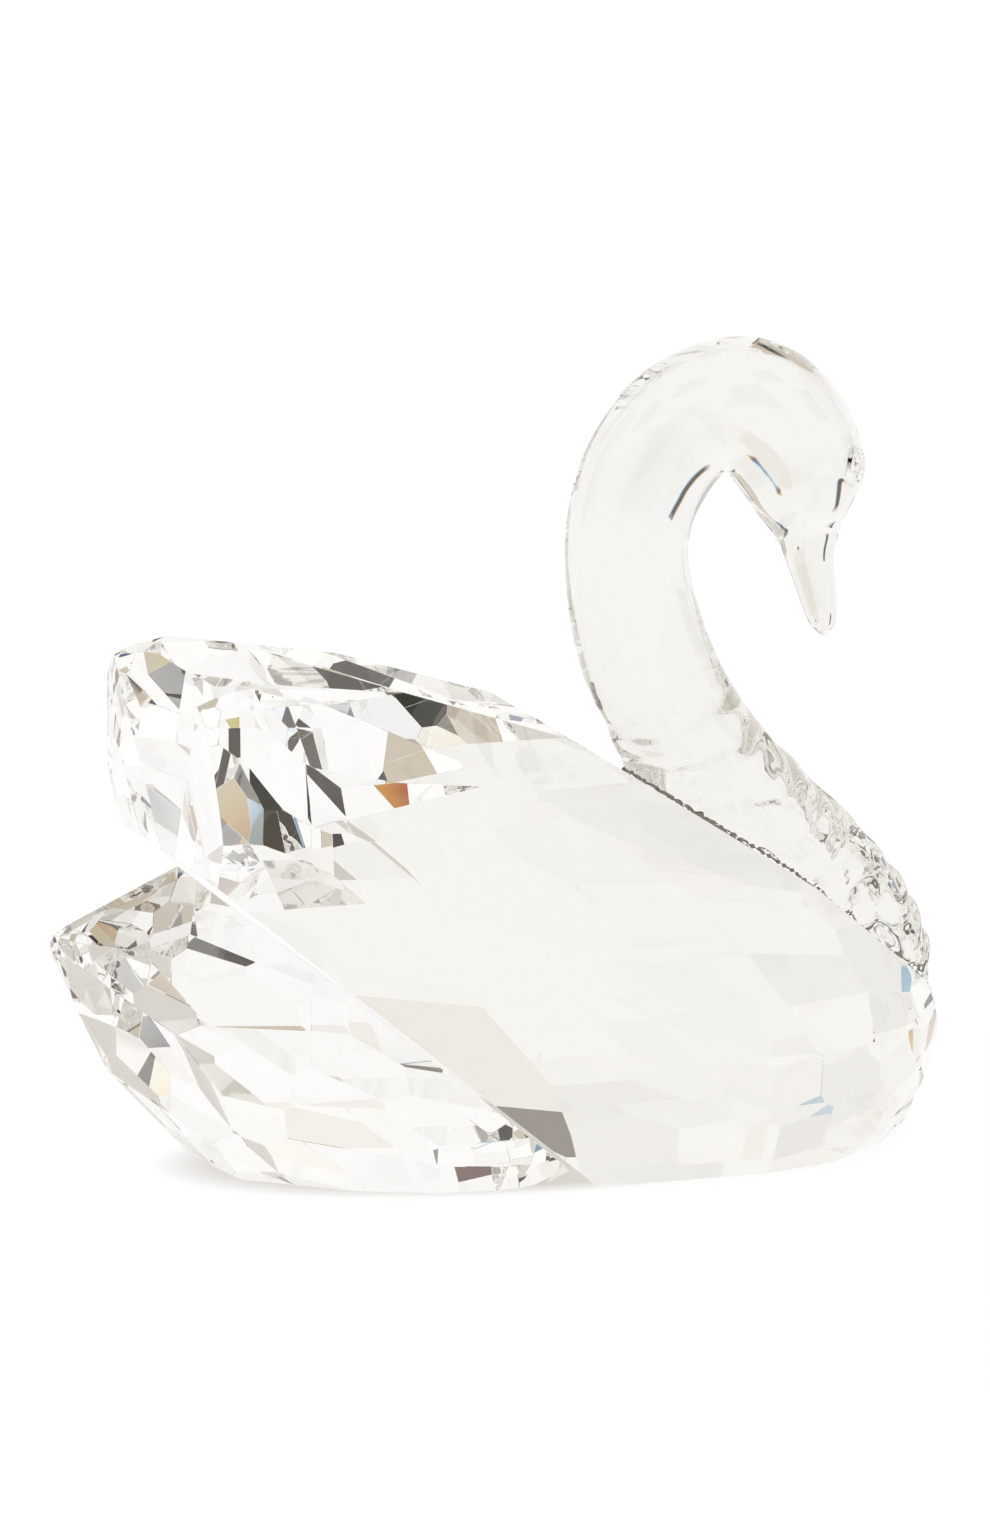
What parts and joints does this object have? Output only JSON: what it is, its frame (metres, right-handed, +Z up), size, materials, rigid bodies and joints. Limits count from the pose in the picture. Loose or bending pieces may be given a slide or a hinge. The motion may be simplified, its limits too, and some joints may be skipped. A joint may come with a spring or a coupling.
{
  "type": "cut crystal swan figurine",
  "caption": "Clear cut-crystal swan with raised faceted wings, a faceted tail block and a smooth curved glass neck and head, standing on a flat base.",
  "frame": {"origin": "middle of the overall outline, on the plane of the flat base", "axes": "+X the way the swan looks, +Y its left side, +Z up"},
  "size_m": [0.1038, 0.059, 0.0914],
  "materials": {
    "cut_crystal": "clear, polished facets",
    "pressed_glass": "clear, smooth fire-polished",
    "bond_film": "clear, cured adhesive"
  },
  "bodies": {
    "root": {"right_wing": "cut_crystal", "left_wing": "cut_crystal", "tail": "cut_crystal", "neck_and_head": "pressed_glass", "wing_bond": "bond_film", "tail_bond": "bond_film", "neck_bond": "bond_film"}
  },
  "joints": []
}
